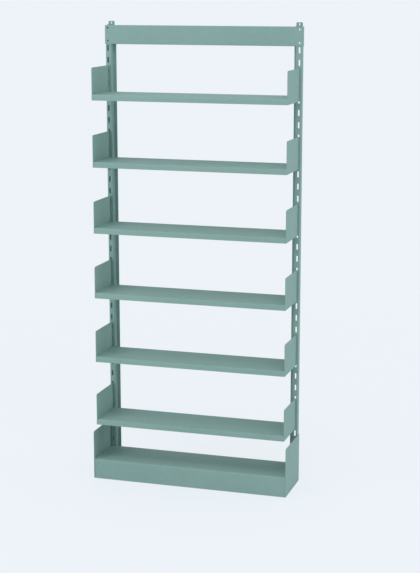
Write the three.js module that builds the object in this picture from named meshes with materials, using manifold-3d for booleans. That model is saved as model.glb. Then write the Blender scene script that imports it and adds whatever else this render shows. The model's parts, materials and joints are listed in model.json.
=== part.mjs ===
// Single-sided library shelving, one bay wide, of folded and painted sheet steel.
//
// Two slotted uprights stand at the back. A beam joins them at the top and a channel near the
// floor. Six adjustable shelves hook into the uprights, and each is a folded tray that lies on
// the ledges of two end brackets. The base shelf has a deep front skirt and lies between two
// base ends. Levelling feet stand under the uprights and under the front of the base ends.
//
// Millimetres, +Z up, front towards -Y. Pieces are drawn from the front face of the uprights
// (y = 0). Side pieces are drawn for the left side, from the outer face of its upright (x = 0)
// towards the bay, and the right side is their mirror image. The origin of the whole unit is on
// the floor, under the middle of its outline.

import * as THREE from 'three';
import { mergeVertices } from 'three/addons/utils/BufferGeometryUtils.js';
import Module from 'manifold-3d';

const wasm = await Module();
wasm.setup();

// Overall sizes
const bayWidth = 1010;
const beamTop = 2295;
const floorGap = 3;

// Clearances
const seatGap = 0.3;
const sideGap = 0.5;
const boltGap = 0.3;
const overrun = 1;

// Uprights: a hat section, open at the back, with one flange turned into the bay and a lip
// folded in along the outer edge
const uprightSheet = 2;
const uprightBend = 2;
const webWidth = 30;
const uprightDepth = 33;
const flangeReach = 15;
const outerLip = 10;

// Slots in the uprights
const slotPitch = 60;
const slotLength = 30;
const slotWidth = 8;
const slotCorner = 3;
const slotInset = 12.5;
const firstSlotDrop = 112;

// Top beam
const beamHeight = 93;
const beamSheet = 1.5;
const beamBend = 1.5;
const beamDepth = 31;
const beamLowerFlange = 20;
const beamHoleTopMargin = 13;
const beamHoleLowMargin = 16;
const beamHoleRadius = 4.5;

// Adjustable shelves
const shelfCount = 6;
const topShelfDrop = 329;
const baseClearance = 180;

// End brackets of the shelves
const bracketSheet = 2.5;
const bracketReach = 228;
const bracketRise = 131;
const bracketDrop = 28.5;
const bracketCorner = 8;
const bracketSmallCorner = 3;
const bracketFlange = 5;
const ledgeWidth = 18;
const ledgeSetback = 6;
const lugRise = 12;
const hookNeck = 14;
const hookDrop = 10;
const hookThickness = 5;
const hookCorner = 2;
const hookEdge = 8;

// Shelf trays
const traySheet = 1.5;
const trayFrontBend = 6.5;
const trayBend = 1;
const trayReturn = 12;
const trayBackGap = 1;

// Base shelf and base ends
const baseDeckHeight = 106;
const baseReach = 242;
const baseHeight = 252;
const baseSheet = 2;
const skirtRecess = 3;
const baseStudHeights = [60, 200];

// Levelling feet
const footRadius = 12;
const footRim = 4;
const footShoulder = 7;
const footHeight = 9;
const footThreadRadius = 4;
const footThreadTop = 45;
const footPlateHeight = 20;
const footPlateSheet = 2.5;
const footPlateWidth = 30;
const footInset = 15;
const frontFootSetback = 37;
const weldNutRadius = 7;
const weldNutHeight = 6;

// Rear tie
const tieBottom = 30;
const tieHeight = 60;
const tieSheet = 1.5;
const tieBend = 1.5;
const tieFlange = 18;
const tieBoltInset = 38;
const tieBoltMargin = 15;

// Wall tabs on the beam
const tabSheet = 2;
const tabBend = 1;
const tabInset = 5;
const tabWidth = 32;
const tabRise = 20;
const tabFootDepth = 25;
const tabCorner = 4;
const tabSlotWidth = 6;
const tabSlotLength = 10;
const tabSlotCorner = 2.5;

// Fasteners
const studRadius = 3;
const studLength = 10;
const nutRadius = 5.8;
const nutHeight = 5;
const headHeight = 4;

// Facets of rounded forms
const arcSteps = 2;
const slotSteps = 1;
const traySteps = 3;
const boreSides = 16;
const footSides = 20;
const nutSides = 6;

// Places that follow from the sizes above
const halfBay = bayWidth / 2;
const beamBottom = beamTop - beamHeight;
const uprightTop = beamTop - beamSheet - beamBend;
const firstSlotHeight = beamTop - firstSlotDrop;
const slotCount = Math.floor((firstSlotHeight - baseDeckHeight) / slotPitch) + 1;
const shelfRange = beamTop - topShelfDrop - bracketDrop - baseClearance - baseDeckHeight;
const shelfStep = slotPitch / 2;
const shelfSpacing = Math.floor(shelfRange / (shelfCount - 1) / shelfStep) * shelfStep;
const frontFootReach = baseReach - frontFootSetback;
const channelMiddle = uprightDepth / 2;
const ledgeDrop = bracketDrop - bracketSheet;
const trayDepth = ledgeDrop - seatGap;
const beamStudHeight = beamBottom + beamHeight / 2;
const tieBoltHeights = [tieBottom + tieBoltMargin, tieBottom + tieHeight - tieBoltMargin];
const beamHoleHeights = [beamBottom + beamHoleLowMargin, beamTop - beamHoleTopMargin];

// Axes of an outline: drawn in two of the unit's axes and pushed along the third
const alongX = new THREE.Matrix4().makeBasis(
  new THREE.Vector3(0, 1, 0), new THREE.Vector3(0, 0, 1), new THREE.Vector3(1, 0, 0));
const alongY = new THREE.Matrix4().makeBasis(
  new THREE.Vector3(1, 0, 0), new THREE.Vector3(0, 0, 1), new THREE.Vector3(0, -1, 0));
const alongZ = new THREE.Matrix4();

// Closed solid of a geometry, for joins and cuts
function solidOf(geometry) {
  const bare = geometry.clone();
  bare.deleteAttribute('normal');
  bare.deleteAttribute('uv');
  const merged = mergeVertices(bare);
  return new wasm.Manifold(new wasm.Mesh({
    numProp: 3,
    vertProperties: new Float32Array(merged.attributes.position.array),
    triVerts: new Uint32Array(merged.index.array),
  }));
}

// Geometry of a solid
function geometryOf(solid) {
  const mesh = solid.getMesh();
  const geometry = new THREE.BufferGeometry();
  geometry.setAttribute('position', new THREE.BufferAttribute(mesh.vertProperties, 3));
  geometry.setIndex(new THREE.BufferAttribute(mesh.triVerts, 1));
  geometry.computeVertexNormals();
  return geometry;
}

// Mirror image across x = 0, with its faces still pointing out
function mirrored(geometry) {
  const copy = geometry.clone().scale(-1, 1, 1);
  const order = copy.index.array;
  for (let i = 0; i < order.length; i += 3) {
    [order[i + 1], order[i + 2]] = [order[i + 2], order[i + 1]];
  }
  copy.computeVertexNormals();
  return copy;
}

// Outline through corners [a, b, radius], each rounded by its radius
function roundedShape(corners) {
  const shape = new THREE.Shape();
  const points = corners.map(([a, b]) => new THREE.Vector2(a, b));
  corners.forEach(([, , radius = 0], i) => {
    const here = points[i];
    const toBefore = points.at(i - 1).clone().sub(here).normalize();
    const toAfter = points[(i + 1) % points.length].clone().sub(here).normalize();
    const halfAngle = toBefore.angleTo(toAfter) / 2;
    const start = here.clone().addScaledVector(toBefore, radius / Math.tan(halfAngle));
    if (i === 0) {
      shape.moveTo(start.x, start.y);
    } else {
      shape.lineTo(start.x, start.y);
    }
    if (radius > 0) {
      const end = here.clone().addScaledVector(toAfter, radius / Math.tan(halfAngle));
      const middle = toBefore.clone().add(toAfter).normalize();
      const centre = here.clone().addScaledVector(middle, radius / Math.sin(halfAngle));
      const from = start.clone().sub(centre).angle();
      const to = end.clone().sub(centre).angle();
      const clockwise = toBefore.cross(toAfter) > 0;
      shape.absarc(centre.x, centre.y, radius, from, to, clockwise);
    }
  });
  return shape;
}

// Section of folded sheet. The path [a, b, inner bend radius] is one face of the sheet,
// whose thickness lies on the left of the path.
function foldedShape(path, sheet) {
  const points = path.map(([a, b]) => new THREE.Vector2(a, b));
  const last = points.length - 1;
  const leftOf = (i) => {
    const run = points[i + 1].clone().sub(points[i]).normalize();
    return new THREE.Vector2(-run.y, run.x);
  };
  const near = [];
  const far = [];
  points.forEach((point, i) => {
    const before = leftOf(Math.max(i - 1, 0));
    const after = leftOf(Math.min(i, last - 1));
    const reach = before.clone().add(after);
    const across = point.clone().addScaledVector(reach, sheet * 2 / reach.lengthSq());
    const bend = path[i][2] ?? 0;
    const turnsLeft = before.cross(after) > 0;
    const outer = bend > 0 ? bend + sheet : 0;
    near.push([point.x, point.y, turnsLeft ? outer : bend]);
    far.push([across.x, across.y, turnsLeft ? bend : outer]);
  });
  return roundedShape([...near, ...far.reverse()]);
}

// Shape pushed along an axis, from one place on it to another
function extruded(shape, axis, from, to, steps = arcSteps) {
  const settings = { depth: to - from, bevelEnabled: false, curveSegments: steps };
  const geometry = new THREE.ExtrudeGeometry(shape, settings);
  const [first, last] = axis === alongY ? [-to, -from] : [from, to];
  const places = geometry.attributes.position;
  for (let i = 0; i < places.count; i += 1) {
    places.setZ(i, places.getZ(i) > 0 ? last : first);
  }
  return solidOf(geometry.applyMatrix4(axis));
}

// Box between two corners
function block([x0, x1], [y0, y1], [z0, z1]) {
  const geometry = new THREE.BoxGeometry(x1 - x0, y1 - y0, z1 - z0);
  return solidOf(geometry.translate((x0 + x1) / 2, (y0 + y1) / 2, (z0 + z1) / 2));
}

// Rod along X, Y or Z, centred on its other two places
function rod(axis, radius, from, to, sides, [x, y, z]) {
  const geometry = new THREE.CylinderGeometry(radius, radius, to - from, sides);
  geometry.translate(0, (from + to) / 2, 0);
  if (axis === 'x') {
    geometry.rotateZ(-Math.PI / 2);
  }
  if (axis === 'z') {
    geometry.rotateX(Math.PI / 2);
  }
  return solidOf(geometry.translate(x, y, z));
}

// Slot outline, longer along its second axis
function slotShape(a, b, width, length, corner) {
  return roundedShape([
    [a - width / 2, b - length / 2, corner],
    [a + width / 2, b - length / 2, corner],
    [a + width / 2, b + length / 2, corner],
    [a - width / 2, b + length / 2, corner],
  ]);
}

function joined(solids) {
  return solids.reduce((whole, solid) => whole.add(solid));
}

function cutBy(body, cutters) {
  return cutters.reduce((rest, cutter) => rest.subtract(cutter), body);
}

// Upright with its slots, beam holes, stud holes, tie holes and foot plate
function uprightSolid() {
  const section = foldedShape([
    [outerLip, uprightDepth],
    [0, uprightDepth, uprightBend],
    [0, 0, uprightBend],
    [webWidth, 0, uprightBend],
    [webWidth, uprightDepth - uprightSheet, uprightBend],
    [webWidth + flangeReach, uprightDepth - uprightSheet],
  ], uprightSheet);
  const body = extruded(section, alongZ, floorGap, uprightTop);
  const cutters = [];
  const webCut = uprightSheet + overrun;
  for (let n = 0; n < slotCount; n += 1) {
    const height = firstSlotHeight - n * slotPitch;
    const outline = slotShape(slotInset, height, slotWidth, slotLength, slotCorner);
    cutters.push(extruded(outline, alongY, -overrun, webCut, slotSteps));
  }
  for (const height of beamHoleHeights) {
    cutters.push(rod('y', beamHoleRadius, -overrun, webCut, boreSides, [slotInset, 0, height]));
  }
  for (const height of [...baseStudHeights, beamStudHeight]) {
    const place = [0, channelMiddle, height];
    cutters.push(rod('x', studRadius + boltGap, -overrun, webCut, boreSides, place));
  }
  for (const height of tieBoltHeights) {
    const from = uprightDepth - uprightSheet - overrun;
    const to = uprightDepth + overrun;
    cutters.push(rod('y', studRadius + boltGap, from, to, boreSides, [tieBoltInset, 0, height]));
  }
  const edge = uprightSheet / 2;
  const corner = uprightBend + edge;
  const plate = extruded(roundedShape([
    [edge, edge, corner],
    [webWidth - edge, edge, corner],
    [webWidth - edge, uprightDepth - edge, corner],
    [edge, uprightDepth - edge, corner],
  ]), alongZ, footPlateHeight, footPlateHeight + footPlateSheet);
  const bore = footBore(footInset, channelMiddle);
  return cutBy(joined([body, plate, weldNut(footInset, channelMiddle)]), [...cutters, bore]);
}

// Threaded seat of a levelling foot, on top of its plate
function weldNut(x, y) {
  const from = footPlateHeight + footPlateSheet / 2;
  const to = footPlateHeight + footPlateSheet + weldNutHeight;
  return rod('z', weldNutRadius, from, to, nutSides, [x, y, 0]);
}

function footBore(x, y) {
  const from = footPlateHeight - overrun;
  const to = footPlateHeight + footPlateSheet + weldNutHeight + overrun;
  return rod('z', footThreadRadius + boltGap, from, to, boreSides, [x, y, 0]);
}

// Beam: a channel that wraps the fronts and outer sides of the uprights. Its lower flange
// ends between them.
function beamSolid() {
  const front = -seatGap - beamSheet;
  const halfLength = halfBay + seatGap + beamSheet;
  const cheekInside = halfLength - beamSheet;
  const flangeEnd = halfBay - webWidth - sideGap;
  const channel = extruded(foldedShape([
    [beamDepth, beamTop],
    [front, beamTop, beamBend],
    [front, beamBottom, beamBend],
    [beamLowerFlange, beamBottom],
  ], beamSheet), alongX, -halfLength, halfLength);
  const cheek = roundedShape([
    [front, beamBottom, beamBend + beamSheet],
    [beamDepth, beamBottom],
    [beamDepth, beamTop],
    [front, beamTop, beamBend + beamSheet],
  ]);
  const bothSides = (from, to) => [[-to, -from], [from, to]];
  const notches = bothSides(flangeEnd, halfLength + overrun).map((across) => (
    block(across, [-seatGap, beamDepth], [beamBottom - overrun, beamBottom + beamLowerFlange])
  ));
  const cheeks = bothSides(cheekInside, halfLength).map(([from, to]) => (
    extruded(cheek, alongX, from, to)
  ));
  const studs = bothSides(halfBay - studLength, halfLength - beamSheet / 2).map(([from, to]) => (
    rod('x', studRadius, from, to, boreSides, [0, channelMiddle, beamStudHeight])
  ));
  const holes = [];
  for (const side of [-1, 1]) {
    for (const height of beamHoleHeights) {
      const place = [side * (halfBay - slotInset), 0, height];
      holes.push(rod('y', beamHoleRadius, front - overrun, overrun, boreSides, place));
    }
    const boltPlace = [side * (halfBay - footInset), channelMiddle, 0];
    const boltFrom = beamTop - beamSheet - overrun;
    const boltTo = beamTop + overrun;
    holes.push(rod('z', studRadius + boltGap, boltFrom, boltTo, boreSides, boltPlace));
  }
  return cutBy(joined([cutBy(channel, notches), ...cheeks, ...studs]), holes);
}

// Heights, from the deck, of the slots that lie behind a bracket and take its hooks
function hookSlots(deckHeight) {
  const heights = [];
  for (let n = slotCount - 1; n >= 0; n -= 1) {
    const height = firstSlotHeight - n * slotPitch - deckHeight;
    const neckBottom = height - slotLength / 2 + seatGap;
    const clearBelow = neckBottom > hookEdge - bracketDrop;
    const clearAbove = neckBottom + hookNeck < bracketRise - hookEdge;
    if (clearBelow && clearAbove) {
      heights.push(height);
    }
  }
  return heights;
}

// Lug on a ledge, in front of the back return of the tray that lies there
function ledgeLug(from, to, ledgeTop) {
  const back = -trayBackGap - traySheet - trayReturn - seatGap;
  return block(
    [from, to],
    [back - bracketSheet, back],
    [ledgeTop - bracketSheet / 2, ledgeTop + lugRise],
  );
}

// End bracket: a plate in the plane of the slots, with hooks behind, a ledge for the tray and
// a flange turned out along its rear edge, against the upright
function bracketSolid(deckHeight) {
  const rear = -seatGap;
  const hookFront = uprightSheet + seatGap;
  const hookBack = hookFront + hookThickness;
  const corners = [
    [-bracketReach, -bracketDrop, bracketSmallCorner],
    [rear, -bracketDrop, bracketSmallCorner],
  ];
  for (const height of hookSlots(deckHeight)) {
    const neckBottom = height - slotLength / 2 + seatGap;
    corners.push(
      [rear, neckBottom],
      [hookFront, neckBottom],
      [hookFront, neckBottom - hookDrop],
      [hookBack, neckBottom - hookDrop, hookCorner],
      [hookBack, neckBottom + hookNeck, hookCorner],
      [rear, neckBottom + hookNeck],
    );
  }
  corners.push(
    [rear, bracketRise, bracketSmallCorner],
    [-bracketReach, bracketRise, bracketCorner],
  );
  const outer = slotInset - bracketSheet / 2;
  const inner = outer + bracketSheet;
  const ledgeEnd = inner + ledgeWidth;
  return joined([
    extruded(roundedShape(corners), alongX, outer, inner),
    block(
      [outer - bracketFlange, slotInset],
      [rear - bracketSheet, rear],
      [bracketSmallCorner - bracketDrop, bracketRise - bracketSmallCorner],
    ),
    block(
      [slotInset, ledgeEnd],
      [-bracketReach + ledgeSetback, -ledgeSetback],
      [-bracketDrop, -ledgeDrop],
    ),
    ledgeLug(inner + sideGap + traySheet + sideGap, ledgeEnd, -ledgeDrop),
  ]);
}

// Tray folded from one sheet: a deck with a rounded front lip, a back flange, end flanges and
// returns along the lower edges. The lip can run on past the ends, in front of the brackets.
function traySolid({ halfLength, lipHalfLength, front, lipDrop, returnHalfLength }) {
  const back = -trayBackGap;
  const lipInside = front + traySheet;
  const backInside = back - traySheet;
  const backReturn = backInside - trayReturn;
  const outside = roundedShape([
    [back, -trayDepth],
    [back, 0, trayBend + traySheet],
    [front, 0, trayFrontBend + traySheet],
    [front, -lipDrop],
    [lipInside, -lipDrop],
    [lipInside, -trayDepth],
  ]);
  const inside = roundedShape([
    [backReturn, -trayDepth - overrun],
    [backReturn, -trayDepth + traySheet],
    [backInside, -trayDepth + traySheet, trayBend],
    [backInside, -traySheet, trayBend],
    [lipInside, -traySheet, trayFrontBend],
    [lipInside, -trayDepth - overrun],
  ]);
  const pocketHalfLength = halfLength - traySheet;
  const shell = extruded(outside, alongX, -halfLength, halfLength, traySteps);
  const pocket = extruded(inside, alongX, -pocketHalfLength, pocketHalfLength, traySteps);
  const lipReturn = block(
    [-returnHalfLength, returnHalfLength],
    [lipInside - traySheet / 2, lipInside + trayReturn],
    [-lipDrop, -lipDrop + traySheet],
  );
  const pieces = [shell.subtract(pocket), lipReturn];
  if (lipHalfLength > halfLength) {
    const inner = halfLength - traySheet / 2;
    for (const [from, to] of [[-lipHalfLength, -inner], [inner, lipHalfLength]]) {
      pieces.push(extruded(outside, alongX, from, to, traySteps).intersect(block(
        [from - overrun, to + overrun],
        [front - overrun, lipInside],
        [-lipDrop - overrun, overrun],
      )));
    }
  }
  return joined(pieces);
}

function shelfTraySolid() {
  const ledgeEnd = slotInset + bracketSheet / 2 + ledgeWidth + sideGap;
  return traySolid({
    halfLength: halfBay - slotInset - bracketSheet / 2 - sideGap,
    lipHalfLength: halfBay - slotInset + bracketSheet / 2,
    front: -bracketReach - seatGap - traySheet,
    lipDrop: bracketDrop,
    returnHalfLength: halfBay - ledgeEnd,
  });
}

// Base shelf: the same tray between the base ends, with its lip carried down as a skirt
function baseDeckSolid() {
  const halfLength = halfBay + seatGap - sideGap;
  return traySolid({
    halfLength,
    lipHalfLength: halfLength,
    front: -baseReach + skirtRecess,
    lipDrop: baseDeckHeight - floorGap,
    returnHalfLength: halfLength - traySheet,
  });
}

// Base end: a side plate outside the upright, with a ledge for the base shelf, a plate for the
// front foot and welded studs that hold it to the upright
function baseEndSolid() {
  const inner = -seatGap;
  const outer = inner - baseSheet;
  const plateMiddle = (inner + outer) / 2;
  const outline = roundedShape([
    [-baseReach, floorGap, bracketSmallCorner],
    [uprightDepth, floorGap, bracketSmallCorner],
    [uprightDepth, baseHeight, bracketSmallCorner],
    [-baseReach, baseHeight, bracketCorner],
  ]);
  const setback = skirtRecess + traySheet + trayReturn + sideGap;
  const ledge = block(
    [plateMiddle, ledgeWidth],
    [-baseReach + setback, -ledgeSetback],
    [baseDeckHeight - bracketDrop, baseDeckHeight - ledgeDrop],
  );
  const footPlate = block(
    [plateMiddle, footPlateWidth],
    [-baseReach + setback, -ledgeSetback],
    [footPlateHeight, footPlateHeight + footPlateSheet],
  );
  const studs = baseStudHeights.map((height) => (
    rod('x', studRadius, plateMiddle, studLength, boreSides, [0, channelMiddle, height])
  ));
  const body = joined([
    extruded(outline, alongX, outer, inner),
    ledge,
    footPlate,
    weldNut(footInset, -frontFootReach),
    ledgeLug(inner + sideGap + traySheet + sideGap, ledgeWidth, baseDeckHeight - ledgeDrop),
    ...studs,
  ]);
  return body.subtract(footBore(footInset, -frontFootReach));
}

// Rear tie: a channel between the uprights, against the front of their flanges
function tieSolid() {
  const back = uprightDepth - uprightSheet - seatGap;
  const halfLength = halfBay - webWidth - uprightBend - seatGap;
  const body = extruded(foldedShape([
    [back - tieFlange, tieBottom],
    [back, tieBottom, tieBend],
    [back, tieBottom + tieHeight, tieBend],
    [back - tieFlange, tieBottom + tieHeight],
  ], tieSheet), alongX, -halfLength, halfLength);
  const cutters = [];
  for (const side of [-1, 1]) {
    for (const height of tieBoltHeights) {
      const place = [side * (halfBay - tieBoltInset), 0, height];
      const from = back - tieSheet - overrun;
      const to = back + overrun;
      cutters.push(rod('y', studRadius + boltGap, from, to, boreSides, place));
    }
  }
  return cutBy(body, cutters);
}

// Wall tab: an angle on top of the beam, whose upright leg has a slotted hole for a wall screw
function tabSolid() {
  const bottom = beamTop + seatGap;
  const top = bottom + tabRise;
  const angle = extruded(foldedShape([
    [uprightDepth - tabFootDepth, bottom],
    [uprightDepth, bottom, tabBend],
    [uprightDepth, top],
  ], tabSheet), alongX, tabInset, tabInset + tabWidth);
  const outline = extruded(roundedShape([
    [tabInset, bottom],
    [tabInset + tabWidth, bottom],
    [tabInset + tabWidth, top, tabCorner],
    [tabInset, top, tabCorner],
  ]), alongY, -overrun, uprightDepth + overrun);
  const middle = tabInset + tabWidth / 2;
  const slotHeight = (bottom + tabSheet + top) / 2;
  const slot = slotShape(middle, slotHeight, tabSlotWidth, tabSlotLength, tabSlotCorner);
  const legCut = uprightDepth - tabSheet - overrun;
  const hole = extruded(slot, alongY, legCut, uprightDepth + overrun, slotSteps);
  const boltPlace = [footInset, channelMiddle, 0];
  const boltHole = rod('z', studRadius + boltGap, beamTop, bottom + tabSheet + overrun, boreSides, boltPlace);
  return cutBy(angle.intersect(outline), [hole, boltHole]);
}

// Levelling foot: a round pad with a tapered shoulder and a threaded stem
function footSolid() {
  const profile = [
    [0, 0],
    [footRadius, 0],
    [footRadius, footRim],
    [footThreadRadius * 2, footShoulder],
    [footThreadRadius, footHeight],
    [footThreadRadius, footThreadTop],
    [0, footThreadTop],
  ].map(([radius, height]) => new THREE.Vector2(radius, height));
  return solidOf(new THREE.LatheGeometry(profile, footSides).applyMatrix4(
    new THREE.Matrix4().makeRotationX(Math.PI / 2)));
}

// Nut on a welded stud, inside the channel of the upright
function nutSolid() {
  const from = uprightSheet + seatGap;
  const to = from + nutHeight;
  const nut = rod('x', nutRadius, from, to, nutSides, [0, 0, 0]);
  return nut.subtract(rod('x', studRadius + boltGap, from - overrun, to + overrun, boreSides, [0, 0, 0]));
}

// Bolt of the rear tie, with its head in the tie's channel
function tieBoltSolid() {
  const headTo = uprightDepth - uprightSheet - seatGap - tieSheet - seatGap;
  const shank = rod('y', studRadius, headTo - headHeight / 2, uprightDepth, boreSides, [0, 0, 0]);
  return shank.add(rod('y', nutRadius, headTo - headHeight, headTo, nutSides, [0, 0, 0]));
}

// Bolt of a wall tab, with its nut under the beam's top flange
function tabBoltSolid() {
  const headFrom = beamTop + seatGap + tabSheet + seatGap;
  const nutTo = beamTop - beamSheet - seatGap;
  return joined([
    rod('z', studRadius, nutTo - nutHeight / 2, headFrom + headHeight / 2, boreSides, [0, 0, 0]),
    rod('z', nutRadius, headFrom, headFrom + headHeight, nutSides, [0, 0, 0]),
    rod('z', nutRadius, nutTo - nutHeight, nutTo, nutSides, [0, 0, 0]),
  ]);
}

// Finishes
const paintFinish = { color: 0x87a59e, roughness: 0.45, metalness: 0.1 };
const zincFinish = { color: 0xb4b8ba, roughness: 0.35, metalness: 0.9 };

// One named piece of the unit
function piece(name, geometry, finish, [x, y, z] = [0, 0, 0]) {
  const material = new THREE.MeshStandardMaterial({ ...finish, flatShading: true });
  const mesh = new THREE.Mesh(geometry, material);
  mesh.name = name;
  mesh.position.set(x, y, z);
  return mesh;
}

// The same piece on both sides of a group
function pair(group, name, solid, finish, [x, y, z] = [0, 0, 0], ending = '') {
  const geometry = geometryOf(solid);
  group.add(piece(`${name}_left${ending}`, geometry, finish, [-halfBay + x, y, z]));
  group.add(piece(`${name}_right${ending}`, mirrored(geometry), finish, [halfBay - x, y, z]));
}

const unit = new THREE.Group();

const frame = new THREE.Group();
pair(frame, 'upright', uprightSolid(), paintFinish);
frame.add(piece('top_beam', geometryOf(beamSolid()), paintFinish));
frame.add(piece('rear_tie', geometryOf(tieSolid()), paintFinish));
pair(frame, 'base_end', baseEndSolid(), paintFinish);
pair(frame, 'wall_tab', tabSolid(), paintFinish);
pair(frame, 'beam_nut', nutSolid(), zincFinish, [0, channelMiddle, beamStudHeight]);
baseStudHeights.forEach((height, i) => {
  pair(frame, 'base_nut', nutSolid(), zincFinish, [0, channelMiddle, height], `_${i + 1}`);
});
tieBoltHeights.forEach((height, i) => {
  pair(frame, 'tie_bolt', tieBoltSolid(), zincFinish, [tieBoltInset, 0, height], `_${i + 1}`);
});
pair(frame, 'tab_bolt', tabBoltSolid(), zincFinish, [footInset, channelMiddle, 0]);
unit.add(frame);

for (let n = 1; n <= shelfCount; n += 1) {
  const deckHeight = beamTop - topShelfDrop - (n - 1) * shelfSpacing;
  const shelf = new THREE.Group();
  shelf.position.z = deckHeight;
  pair(shelf, `shelf_${n}_bracket`, bracketSolid(deckHeight), paintFinish);
  shelf.add(piece(`shelf_${n}_tray`, geometryOf(shelfTraySolid()), paintFinish));
  unit.add(shelf);
}

const base = new THREE.Group();
base.add(piece('base_deck', geometryOf(baseDeckSolid()), paintFinish, [0, 0, baseDeckHeight]));
pair(base, 'foot_front', footSolid(), zincFinish, [footInset, -frontFootReach, 0]);
pair(base, 'foot_rear', footSolid(), zincFinish, [footInset, channelMiddle, 0]);
unit.add(base);

unit.position.y = (baseReach - uprightDepth) / 2;

export default unit;
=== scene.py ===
import json
from math import cos, pi, radians

import bmesh
import bpy
from mathutils import Matrix, Vector


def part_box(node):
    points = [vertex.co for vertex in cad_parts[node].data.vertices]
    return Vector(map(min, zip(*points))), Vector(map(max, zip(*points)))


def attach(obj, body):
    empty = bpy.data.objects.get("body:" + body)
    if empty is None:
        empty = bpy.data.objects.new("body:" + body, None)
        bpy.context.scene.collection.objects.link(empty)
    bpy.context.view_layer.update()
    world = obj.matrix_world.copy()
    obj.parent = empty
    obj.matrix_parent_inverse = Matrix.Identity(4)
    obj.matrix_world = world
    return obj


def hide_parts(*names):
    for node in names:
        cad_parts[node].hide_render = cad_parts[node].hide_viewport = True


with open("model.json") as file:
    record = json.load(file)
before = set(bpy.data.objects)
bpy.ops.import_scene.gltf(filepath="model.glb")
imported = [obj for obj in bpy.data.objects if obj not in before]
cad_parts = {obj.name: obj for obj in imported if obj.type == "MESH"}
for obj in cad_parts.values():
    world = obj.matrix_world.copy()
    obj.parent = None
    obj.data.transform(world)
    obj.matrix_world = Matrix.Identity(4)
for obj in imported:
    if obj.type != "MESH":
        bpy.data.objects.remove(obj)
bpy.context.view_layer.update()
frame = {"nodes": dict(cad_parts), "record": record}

nodes = frame["nodes"]
print("frame loaded:", len(nodes), "nodes")


# Camera

camera = {
    "place": (2.1857, -6.8522, 2.4987),  # metres, from the middle of the shelving's outline on the floor
    "tilt": 78.333,                      # degrees up from straight down
    "turn": 17.128,                      # degrees to the left
    "focalShare": 2.562,                 # focal length over the sensor's long side
    "sensor": 36.0,                      # millimetres
    "sight": 1000,                       # metres, past the far edge of the floor
}


def buildCamera():
    data = bpy.data.cameras.new("photoCamera")
    data.sensor_width = camera["sensor"]
    data.lens = camera["sensor"] * camera["focalShare"]
    data.clip_end = camera["sight"]
    eye = bpy.data.objects.new("photoCamera", data)
    eye.location = camera["place"]
    eye.rotation_euler = (radians(camera["tilt"]), 0, radians(camera["turn"]))
    bpy.context.scene.collection.objects.link(eye)
    bpy.context.scene.camera = eye


buildCamera()
print("camera ready")


# Helpers for node trees

def linear(red, green, blue):  # a colour as it is read off a screen, 0 to 255
    def channel(value):
        value /= 255
        return value / 12.92 if value <= 0.04045 else ((value + 0.055) / 1.055) ** 2.4
    return (channel(red), channel(green), channel(blue), 1)


def addNode(tree, kind, **settings):
    node = tree.nodes.new(kind)
    for key, value in settings.items():
        setattr(node, key, value)
    return node


def feed(tree, socket, value):  # the value is another node's output or a plain value
    if isinstance(value, bpy.types.NodeSocket):
        tree.links.new(value, socket)
    else:
        socket.default_value = value


def newMaterial(name):
    material = bpy.data.materials.new(name)
    material.use_nodes = True
    tree = material.node_tree
    tree.nodes.clear()
    shader = addNode(tree, "ShaderNodeBsdfPrincipled")
    output = addNode(tree, "ShaderNodeOutputMaterial")
    tree.links.new(shader.outputs["BSDF"], output.inputs["Surface"])
    return material, tree, shader


def newGroup(name, inputs, outputs):
    tree = bpy.data.node_groups.new(name, "ShaderNodeTree")
    for label, kind in inputs:
        tree.interface.new_socket(name=label, in_out="INPUT", socket_type=kind)
    for label, kind in outputs:
        tree.interface.new_socket(name=label, in_out="OUTPUT", socket_type=kind)
    return tree, addNode(tree, "NodeGroupInput"), addNode(tree, "NodeGroupOutput")


def mapRange(tree, value, low, high, start=0.0, end=1.0):  # from start to end, spread over low to high
    node = addNode(tree, "ShaderNodeMapRange")
    limits = {"Value": value, "From Min": start, "From Max": end, "To Min": low, "To Max": high}
    for key, limit in limits.items():
        feed(tree, node.inputs[key], limit)
    return node.outputs["Result"]


def mixColors(tree, factor, first, second):
    node = addNode(tree, "ShaderNodeMix", data_type="RGBA")
    for name, value in (("Factor_Float", factor), ("A_Color", first), ("B_Color", second)):
        feed(tree, next(socket for socket in node.inputs if socket.identifier == name), value)
    return next(socket for socket in node.outputs if socket.identifier == "Result_Color")


def mixShaders(tree, factor, first, second):
    node = addNode(tree, "ShaderNodeMixShader")
    for socket, value in zip(node.inputs, (factor, first, second)):
        tree.links.new(value, socket)
    return node.outputs["Shader"]


def mathNode(tree, operation, first, second):
    node = addNode(tree, "ShaderNodeMath", operation=operation)
    for socket, value in zip(node.inputs, (first, second)):
        feed(tree, socket, value)
    return node.outputs["Value"]


def weightedSum(tree, *parts):  # pairs of a value and its share
    total, *others = [mathNode(tree, "MULTIPLY", value, share) for value, share in parts]
    for other in others:
        total = mathNode(tree, "ADD", total, other)
    return total


def noiseNode(tree, vector, scale, detail=2.0, roughness=0.5):
    node = addNode(tree, "ShaderNodeTexNoise")
    for key, value in (("Vector", vector), ("Scale", scale), ("Detail", detail), ("Roughness", roughness)):
        feed(tree, node.inputs[key], value)
    return node.outputs["Fac"]


# Surface group: clouded and mottled colour, uneven gloss and a fine skin, for paint and for plating

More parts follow.
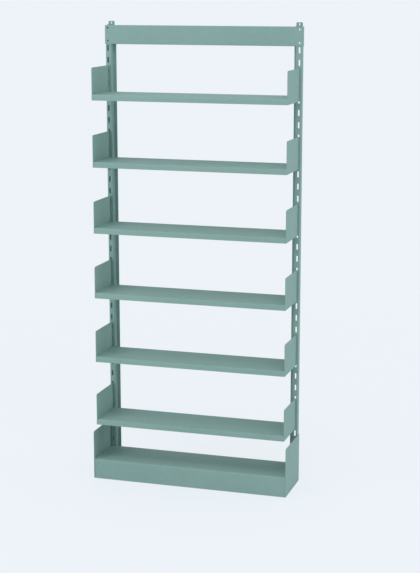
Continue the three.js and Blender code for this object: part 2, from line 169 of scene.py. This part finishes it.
skinPattern = {
    "cloudScale": 3.1,        # per metre, the broadest patches
    "cloudDetail": 3.0,
    "mottleDetail": 3.0,
    "mottleRoughness": 0.55,
    "grainRoughness": 0.6,
    "cloudShare": 0.4,        # the three shares make 1
    "mottleShare": 0.35,
    "grainShare": 0.25,
    "reach": (0.34, 0.66),    # the sum's usual values, spread from the deep colour to the colour
}
skinValues = {                # the group's sockets, and what a finish calls them
    "Roughness": "roughness",
    "Roughness Spread": "roughnessSpread",
    "Mottle Scale": "mottleScale",
    "Grain Scale": "grainScale",
    "Grain Height": "grainHeight",
}
skinColors = {"Color": "color", "Deep Color": "deepColor"}


def buildSurfaceGroup():
    tree, source, result = newGroup(
        "surfaceSkin",
        [(label, "NodeSocketColor") for label in skinColors]
        + [(label, "NodeSocketFloat") for label in skinValues],
        [("Color", "NodeSocketColor"), ("Roughness", "NodeSocketFloat"), ("Normal", "NodeSocketVector")])
    given = source.outputs
    place = addNode(tree, "ShaderNodeTexCoord").outputs["Object"]
    cloud = noiseNode(tree, place, skinPattern["cloudScale"], skinPattern["cloudDetail"])
    mottle = noiseNode(
        tree, place, given["Mottle Scale"], skinPattern["mottleDetail"], skinPattern["mottleRoughness"])
    grain = noiseNode(tree, place, given["Grain Scale"], roughness=skinPattern["grainRoughness"])
    total = weightedSum(
        tree, (cloud, skinPattern["cloudShare"]), (mottle, skinPattern["mottleShare"]),
        (grain, skinPattern["grainShare"]))
    spread = mapRange(tree, total, 0, 1, *skinPattern["reach"])
    color = mixColors(tree, spread, given["Deep Color"], given["Color"])
    low = mathNode(tree, "SUBTRACT", given["Roughness"], given["Roughness Spread"])
    high = mathNode(tree, "ADD", given["Roughness"], given["Roughness Spread"])
    bump = addNode(tree, "ShaderNodeBump")
    feed(tree, bump.inputs["Distance"], given["Grain Height"])
    feed(tree, bump.inputs["Height"], grain)
    feed(tree, result.inputs["Color"], color)
    feed(tree, result.inputs["Roughness"], mapRange(tree, spread, low, high))
    feed(tree, result.inputs["Normal"], bump.outputs["Normal"])
    return tree


surfaceSkin = buildSurfaceGroup()


def placeSurface(tree, shader, look):
    group = addNode(tree, "ShaderNodeGroup", node_tree=surfaceSkin)
    for label, key in skinColors.items():
        group.inputs[label].default_value = linear(*look[key])
    for label, key in skinValues.items():
        group.inputs[label].default_value = look[key]
    for label, target in (("Color", "Base Color"), ("Roughness", "Roughness"), ("Normal", "Normal")):
        tree.links.new(group.outputs[label], shader.inputs[target])
    return group.outputs["Color"]


# Powder coat

powderCoat = {
    "color": (146, 178, 173),
    "deepColor": (136, 169, 165),
    "roughness": 0.55,
    "roughnessSpread": 0.06,
    "mottleScale": 55,              # per metre
    "grainScale": 420,              # the fine orange peel
    "grainHeight": 0.00005,         # metres
    "specular": 0.03,
    "scuffColor": (166, 190, 185),
    "scuffStretch": (260, 9, 260),  # faint rubs from front to back
    "scuffDetail": 3.0,
    "scuffRoughness": 0.6,
    "scuffShare": 0.8,
    "patchScale": 7.0,              # the rubs come in patches
    "patchShare": 0.3,
    "scuffReach": (0.66, 0.78),     # where a rub starts and is full
    "scuffStrength": 0.35,
    "facingUp": 0.9,
}


def scuffMask(tree):  # only where the sheet faces up
    coordinates = addNode(tree, "ShaderNodeTexCoord")
    stretch = addNode(tree, "ShaderNodeMapping")
    feed(tree, stretch.inputs["Vector"], coordinates.outputs["Object"])
    feed(tree, stretch.inputs["Scale"], powderCoat["scuffStretch"])
    streaks = noiseNode(
        tree, stretch.outputs["Vector"], 1, powderCoat["scuffDetail"], powderCoat["scuffRoughness"])
    patches = noiseNode(tree, coordinates.outputs["Object"], powderCoat["patchScale"])
    rubs = weightedSum(tree, (streaks, powderCoat["scuffShare"]), (patches, powderCoat["patchShare"]))
    mask = mapRange(tree, rubs, 0, powderCoat["scuffStrength"], *powderCoat["scuffReach"])
    split = addNode(tree, "ShaderNodeSeparateXYZ")
    feed(tree, split.inputs["Vector"], coordinates.outputs["Normal"])
    up = mathNode(tree, "GREATER_THAN", split.outputs["Z"], powderCoat["facingUp"])
    return mathNode(tree, "MULTIPLY", mask, up)


def buildPowderCoat():
    material, tree, shader = newMaterial("powderCoat")
    coat = placeSurface(tree, shader, powderCoat)
    rubbed = mixColors(tree, scuffMask(tree), coat, linear(*powderCoat["scuffColor"]))
    tree.links.new(rubbed, shader.inputs["Base Color"])
    shader.inputs["Specular IOR Level"].default_value = powderCoat["specular"]
    return material


# Zinc plating

zincPlate = {
    "color": (205, 207, 206),
    "deepColor": (176, 179, 180),
    "roughness": 0.32,
    "roughnessSpread": 0.08,
    "mottleScale": 260,             # per metre
    "grainScale": 1400,
    "grainHeight": 0.00001,         # metres
    "metallic": 1.0,
}


def buildZincPlate():
    material, tree, shader = newMaterial("zincPlate")
    placeSurface(tree, shader, zincPlate)
    shader.inputs["Metallic"].default_value = zincPlate["metallic"]
    return material


finishes = {"paint": buildPowderCoat(), "zinc": buildZincPlate()}
slotOf = {part["node"]: part["material_slot"] for part in frame["record"]["subparts"]}
for name, piece in nodes.items():
    piece.data.materials.clear()
    piece.data.materials.append(finishes[slotOf[name]])
print("finishes ready")


# Helpers for the small steel pieces. Their forms are made in millimetres.

steelWork = {
    "perMetre": 1000,
    "mergeDistance": 0.001,
    "cutDistance": 0.0001,
    "levelDistance": 0.01,    # heights this near are the same
    "creaseAngle": 32,        # degrees, from which an edge is sharp
    "insetStep": 0.1,         # starts an inset, whose ring is then drawn to its size
    "crestShares": (0.35, 0.55),  # a thread's flat crest, over its pitch
    "spareTurns": 2,          # past each end of a thread, before it is cut square
    "hexSides": 6,
}


def showPiece(form, place, name, finish, body, node=None):  # the node is the CAD piece that it stands for
    bmesh.ops.remove_doubles(form, verts=form.verts, dist=steelWork["mergeDistance"])
    bmesh.ops.recalc_face_normals(form, faces=form.faces)
    toMetres = Matrix.Scale(1 / steelWork["perMetre"], 4)
    bmesh.ops.transform(form, matrix=place @ toMetres, verts=form.verts)
    mesh = bpy.data.meshes.new(name)
    form.to_mesh(mesh)
    form.free()
    mesh.shade_smooth()
    mesh.set_sharp_from_angle(angle=radians(steelWork["creaseAngle"]))
    mesh.materials.append(finishes[finish])
    piece = bpy.data.objects.new(name, mesh)
    bpy.context.scene.collection.objects.link(piece)
    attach(piece, body)
    if node:
        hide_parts(node)


def showFastener(form, point, up, node, body="frame"):
    showPiece(form, standing(point, up), node + "_piece", "zinc", body, node)


def standing(point, direction):  # turns a piece's own up to this direction
    turn = Vector(direction).to_track_quat("Z", "Y").to_matrix().to_4x4()
    return Matrix.Translation(point) @ turn


def openEdges(form):
    return [edge for edge in form.edges if edge.is_boundary]


def insetTo(form, cap, radius, height):  # insets a face to a circle of this radius, at this height
    bmesh.ops.inset_region(form, faces=[cap], thickness=steelWork["insetStep"], use_even_offset=False)
    for vert in cap.verts:
        flat = vert.co.xy.normalized() * radius
        vert.co = (flat.x, flat.y, height)


def addHex(form, look, low, high, ends):  # a hexagon whose corners are turned down at the given ends
    sides, near, middle = steelWork["hexSides"], steelWork["levelDistance"], (low + high) / 2
    made = bmesh.ops.create_cone(
        form, cap_ends=True, segments=sides, radius1=look["corner"], radius2=look["corner"],
        depth=high - low, matrix=Matrix.Translation((0, 0, middle)))
    edges = {edge for vert in made["verts"] for edge in vert.link_edges}
    rims = [edge for edge in edges if abs(edge.verts[0].co.z - edge.verts[1].co.z) < near]
    bmesh.ops.subdivide_edges(form, edges=rims, cuts=look["sideCuts"])
    circle = look["corner"] * cos(pi / sides) * look["crown"]
    caps = {}
    for face in [f for f in form.faces if len(f.verts) == sides * (look["sideCuts"] + 1)]:
        level = face.calc_center_median().z
        top = level > middle
        side, height = ("top", high) if top else ("bottom", low)
        if side not in ends or abs(level - height) > near:
            continue
        rim = list(face.verts)
        insetTo(form, face, circle, height)
        for vert in rim:
            drop = (vert.co.xy.length - circle) * look["slope"]
            vert.co.z += -drop if top else drop
        caps[side] = face
    return caps


def addThread(form, look, low, high):  # a screw thread, cut square at both ends
    pitch, radius, sides = look["pitch"], look["threadRadius"], look["threadSides"]
    spare = steelWork["spareTurns"]
    crestStart, crestEnd = steelWork["crestShares"]
    line = []
    for turn in range(-spare, int((high - low) / pitch) + spare):
        start = low + turn * pitch
        for reach, rise in ((radius - look["threadDepth"], 0), (radius, crestStart), (radius, crestEnd)):
            line.append(form.verts.new((reach, 0, start + rise * pitch)))
    edges = [form.edges.new(pair) for pair in zip(line, line[1:])]
    bmesh.ops.spin(
        form, geom=line + edges, cent=(0, 0, 0), axis=(0, 0, 1), angle=2 * pi,
        steps=sides, dvec=(0, 0, pitch / sides), use_merge=False)
    bmesh.ops.remove_doubles(form, verts=form.verts, dist=steelWork["mergeDistance"])
    for height, way in ((low, 1), (high, -1)):
        bmesh.ops.bisect_plane(
            form, geom=form.verts[:] + form.edges[:] + form.faces[:], dist=steelWork["cutDistance"],
            plane_co=(0, 0, height), plane_no=(0, 0, way), clear_inner=True)
    bmesh.ops.holes_fill(form, edges=openEdges(form), sides=0)


def addRound(form, profile, sides):  # a turned form from a line of radius and height
    line = [form.verts.new((radius, 0, height)) for radius, height in profile]
    edges = [form.edges.new(pair) for pair in zip(line, line[1:])]
    bmesh.ops.spin(
        form, geom=line + edges, cent=(0, 0, 0), axis=(0, 0, 1), angle=2 * pi,
        steps=sides, use_merge=True)


# Nuts on the welded studs, with a collar against the upright

flangeNut = {
    "corner": 5.8,
    "hexLow": 0.8,
    "height": 5.0,
    "crown": 0.97,            # the turned circle over the width across the flats
    "slope": 0.55,            # how steeply the corners are turned down
    "sideCuts": 3,
    "collar": [(0, 0), (6.6, 0), (6.9, 0.3), (6.9, 0.7), (5.2, 1.5), (0, 1.5)],
    "collarSides": 24,
    "mouth": 3.7,             # the hollow where the thread starts
    "mouthDepth": 0.6,
    "boreRadius": 3.15,
}


def buildFlangeNut(node, inward):
    height = flangeNut["height"]
    form = bmesh.new()
    cap = addHex(form, flangeNut, flangeNut["hexLow"], height, ("top",))["top"]
    insetTo(form, cap, flangeNut["mouth"], height)
    insetTo(form, cap, flangeNut["boreRadius"], height - flangeNut["mouthDepth"])
    addRound(form, flangeNut["collar"], flangeNut["collarSides"])
    low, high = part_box(node)
    middle = (low + high) / 2
    wall = (low.x if inward > 0 else high.x, middle.y, middle.z)
    showFastener(form, wall, (inward, 0, 0), node)


# Bolts: a head and a threaded shank, and for the wall tabs a nut

hexBolt = {
    "corner": 5.8,
    "headHeight": 4.0,
    "nutHeight": 5.0,
    "crown": 0.96,
    "slope": 0.55,
    "sideCuts": 3,
    "threadRadius": 3.0,
    "threadDepth": 0.4,
    "threadSides": 16,
    "pitch": 1.0,
    "tip": 0.6,               # the chamfer at the shank's end, its height
    "tipTaper": 0.3,          # and its depth
    "mouth": 3.7,
    "mouthDepth": 0.6,
    "boreRadius": 3.15,
    "shankRecess": 0.4,       # the shank ends inside the nut
}


def buildBolt(node, length, shankLow, point, up, nut=False):
    tip, head = hexBolt["tip"], hexBolt["headHeight"]
    root = hexBolt["threadRadius"] - hexBolt["threadDepth"]
    narrow = root - hexBolt["tipTaper"]
    start, end = shankLow + tip, shankLow + 2 * tip
    form = bmesh.new()
    addThread(form, hexBolt, start, length - head / 2)
    profile = [(0, shankLow), (narrow, shankLow), (root, start), (root, end), (0, end)]
    addRound(form, profile, hexBolt["threadSides"])
    addHex(form, hexBolt, length - head, length, ("top",))
    if nut:
        cap = addHex(form, hexBolt, 0, hexBolt["nutHeight"], ("top", "bottom"))["bottom"]
        insetTo(form, cap, hexBolt["mouth"], 0)
        insetTo(form, cap, hexBolt["boreRadius"], hexBolt["mouthDepth"])
    showFastener(form, point, up, node)


def buildTieBolt(node):
    low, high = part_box(node)
    middle = (low + high) / 2
    length = (high.y - low.y) * steelWork["perMetre"]
    buildBolt(node, length, 0, (middle.x, high.y, middle.z), (0, -1, 0))


def buildTabBolt(node):
    low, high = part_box(node)
    middle = (low + high) / 2
    length = (high.z - low.z) * steelWork["perMetre"]
    buildBolt(node, length, hexBolt["shankRecess"], (middle.x, middle.y, low.z), (0, 0, 1), nut=True)


# Levelling feet: a turned pad, a hexagon for the spanner and a threaded stem

levellingFoot = {
    "pad": [
        (0, 0), (10.6, 0), (11.4, 0.3), (11.9, 0.9), (12, 1.6), (12, 3.4),
        (11.7, 3.9), (11, 4.3), (8.2, 5.2), (7.4, 5.6), (0, 5.6),
    ],
    "padSides": 40,
    "corner": 7.6,
    "hexLow": 5.2,
    "hexHigh": 8.6,
    "crown": 0.97,
    "slope": 0.55,
    "sideCuts": 4,
    "threadRadius": 3.95,
    "threadDepth": 0.55,
    "threadSides": 18,
    "threadLow": 10,
    "threadHigh": 44.2,
    "pitch": 1.25,
    "neck": [(0, 8.2), (3.4, 8.2), (3.4, 10.4), (0, 10.4)],
    "tip": [(0, 44), (3.4, 44), (3.4, 44.3), (2.9, 45), (0, 45)],
}


def buildFoot(node, body):
    form = bmesh.new()
    addThread(form, levellingFoot, levellingFoot["threadLow"], levellingFoot["threadHigh"])
    addRound(form, levellingFoot["neck"], levellingFoot["threadSides"])
    addRound(form, levellingFoot["tip"], levellingFoot["threadSides"])
    addRound(form, levellingFoot["pad"], levellingFoot["padSides"])
    addHex(form, levellingFoot, levellingFoot["hexLow"], levellingFoot["hexHigh"], ("top",))
    low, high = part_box(node)
    middle = (low + high) / 2
    showFastener(form, (middle.x, middle.y, low.z), (0, 0, 1), node, body)


# Weld beads, painted over: under the base ends' ledges, on their foot plates and in the uprights

weldBead = {
    "leg": 1.9,               # how far it spreads over either sheet
    "ripple": 0.14,
    "tail": 0.55,             # the ends, over the leg
    "step": 0.8,
    "sides": 12,
    "wall": 2.0,              # the base ends' and uprights' sheet
    "ledgeDrop": 28.5,        # from the base shelf's top to the ledge's underside
    "plateTop": 22.5,         # the foot plates' upper side
    "stitchLength": 24,
    "stitchShares": (0.15, 0.46, 0.77),  # along the base end, from the front
    "channelLength": 15,      # inside the upright
}


def addBead(form, middle, direction, length):
    steps = round(length / weldBead["step"])
    before = set(form.verts)
    ring = bmesh.ops.create_circle(form, segments=weldBead["sides"], radius=weldBead["leg"])["verts"]
    edges = list({edge for vert in ring for edge in vert.link_edges})
    bmesh.ops.spin(
        form, geom=ring + edges, cent=(0, 0, 0), axis=(0, 0, 1), angle=0,
        steps=steps, dvec=(0, 0, weldBead["step"]), use_merge=False)
    made = [vert for vert in form.verts if vert not in before]
    for vert in made:
        count = round(vert.co.z / weldBead["step"])
        ripple = 1 - weldBead["ripple"] * (count % 2)
        vert.co.xy *= weldBead["tail"] if count in (0, steps) else ripple
    bmesh.ops.holes_fill(form, edges=openEdges(form), sides=0)
    place = standing(middle, direction) @ Matrix.Translation((0, 0, -length / 2))
    bmesh.ops.transform(form, matrix=place, verts=made)


def buildBaseWelds(side, inward):
    low, high = [corner * steelWork["perMetre"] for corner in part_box("base_end_" + side)]
    face = low.x + weldBead["wall"] if inward > 0 else high.x - weldBead["wall"]
    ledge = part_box("base_deck")[1].z * steelWork["perMetre"] - weldBead["ledgeDrop"]
    form = bmesh.new()
    for share in weldBead["stitchShares"]:
        along = low.y + (high.y - low.y) * share
        for height in (ledge, weldBead["plateTop"]):
            addBead(form, (face, along, height), (0, 1, 0), weldBead["stitchLength"])
    showPiece(form, Matrix.Identity(4), "base_end_%s_welds" % side, "paint", "frame")


def buildChannelWeld(side):  # inside the upright, where the foot plate meets its front
    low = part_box("upright_" + side)[0] * steelWork["perMetre"]
    foot = sum(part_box("foot_rear_" + side), Vector()) / 2 * steelWork["perMetre"]
    form = bmesh.new()
    web = (foot.x, low.y + weldBead["wall"], weldBead["plateTop"])
    addBead(form, web, (1, 0, 0), weldBead["channelLength"])
    showPiece(form, Matrix.Identity(4), "upright_%s_weld" % side, "paint", "frame")


for side, inward in (("left", 1), ("right", -1)):
    buildBaseWelds(side, inward)
    buildChannelWeld(side)
    for stem in ("beam_nut_%s", "base_nut_%s_1", "base_nut_%s_2"):
        buildFlangeNut(stem % side, inward)
    for stem in ("tie_bolt_%s_1", "tie_bolt_%s_2"):
        buildTieBolt(stem % side)
    buildTabBolt("tab_bolt_%s" % side)
    for end in ("front", "rear"):
        buildFoot("foot_%s_%s" % (end, side), "%s_%s_foot" % (end, side))
print("steel pieces ready")


# Floor and background

studio = {
    "background": (237, 243, 248),
    "floorColor": (233, 238, 242),
    "floorRoughness": 0.9,
    "floorSize": 400.0,             # metres
    "floorCells": 8,
    "shadowReach": (1.0, 5.0),      # metres from the middle, over which the floor turns into background
    "floorGlow": (0.83, 1.0),       # the background's share in the floor's look, near and far
    "glowStrength": (1.036, 1.0),   # near and far
    "ambient": 0.695,
}


def seenPlainly(tree):  # 1 for what the camera sees, also in a reflection or through glass
    path = addNode(tree, "ShaderNodeLightPath")
    seen = mathNode(tree, "MAXIMUM", path.outputs["Is Camera Ray"], path.outputs["Is Glossy Ray"])
    return mathNode(tree, "MAXIMUM", seen, path.outputs["Is Transmission Ray"])


def buildFloorPaint():  # near the shelving its shadow shows, and from below it is clear
    material, tree, shader = newMaterial("paleFloor")
    output = next(node for node in tree.nodes if node.type == "OUTPUT_MATERIAL")
    shader.inputs["Base Color"].default_value = linear(*studio["floorColor"])
    shader.inputs["Roughness"].default_value = studio["floorRoughness"]
    shader.inputs["Specular IOR Level"].default_value = 0
    length = addNode(tree, "ShaderNodeVectorMath", operation="LENGTH")
    feed(tree, length.inputs["Vector"], addNode(tree, "ShaderNodeTexCoord").outputs["Object"])
    distance = length.outputs["Value"]
    glow = addNode(tree, "ShaderNodeEmission")
    glow.inputs["Color"].default_value = linear(*studio["background"])
    strength = mapRange(tree, distance, *studio["glowStrength"], *studio["shadowReach"])
    feed(tree, glow.inputs["Strength"], strength)
    share = mapRange(tree, distance, *studio["floorGlow"], *studio["shadowReach"])
    share = mathNode(tree, "MULTIPLY", seenPlainly(tree), share)
    above = mixShaders(tree, share, shader.outputs["BSDF"], glow.outputs["Emission"])
    below = addNode(tree, "ShaderNodeBsdfTransparent").outputs["BSDF"]
    facing = addNode(tree, "ShaderNodeNewGeometry").outputs["Backfacing"]
    tree.links.new(mixShaders(tree, facing, above, below), output.inputs["Surface"])
    return material


def buildFloor():
    form = bmesh.new()
    cells = studio["floorCells"]
    bmesh.ops.create_grid(form, x_segments=cells, y_segments=cells, size=studio["floorSize"] / 2)
    mesh = bpy.data.meshes.new("floor")
    form.to_mesh(mesh)
    form.free()
    floor = bpy.data.objects.new("floor", mesh)
    bpy.context.scene.collection.objects.link(floor)
    mesh.materials.append(buildFloorPaint())


def buildWorld():  # the background for the eye, and an even light from all round for the rest
    world = bpy.data.worlds.new("studio")
    world.use_nodes = True
    tree = world.node_tree
    tree.nodes.clear()
    output = addNode(tree, "ShaderNodeOutputWorld")
    plain = addNode(tree, "ShaderNodeBackground")
    plain.inputs["Color"].default_value = linear(*studio["background"])
    around = addNode(tree, "ShaderNodeBackground")
    around.inputs["Color"].default_value = (1, 1, 1, 1)
    around.inputs["Strength"].default_value = studio["ambient"]
    both = mixShaders(tree, seenPlainly(tree), around.outputs["Background"], plain.outputs["Background"])
    tree.links.new(both, output.inputs["Surface"])
    bpy.context.scene.world = world


buildFloor()
buildWorld()
print("studio ready")


# Lamps: round softboxes

lamps = {
    "aim": (0, 0, 1.6),
    "size": 2.5,              # metres across
    "boxes": [                # place in metres, watts
        ("leftBox", (-4.0, -4.0, 2.6), 59),
        ("sideBox", (5.2, 0.6, 2.0), 40.5),
        ("topBox", (0.5, -2.0, 5.5), 37),
    ],
}


def buildLamps():
    for name, place, watts in lamps["boxes"]:
        data = bpy.data.lights.new(name, "AREA")
        data.shape = "DISK"
        data.size = lamps["size"]
        data.energy = watts
        box = bpy.data.objects.new(name, data)
        box.location = place
        box.rotation_euler = (Vector(place) - Vector(lamps["aim"])).to_track_quat("Z", "Y").to_euler()
        bpy.context.scene.collection.objects.link(box)


buildLamps()
print("lamps ready")

bpy.context.scene.view_settings.view_transform = "Standard"
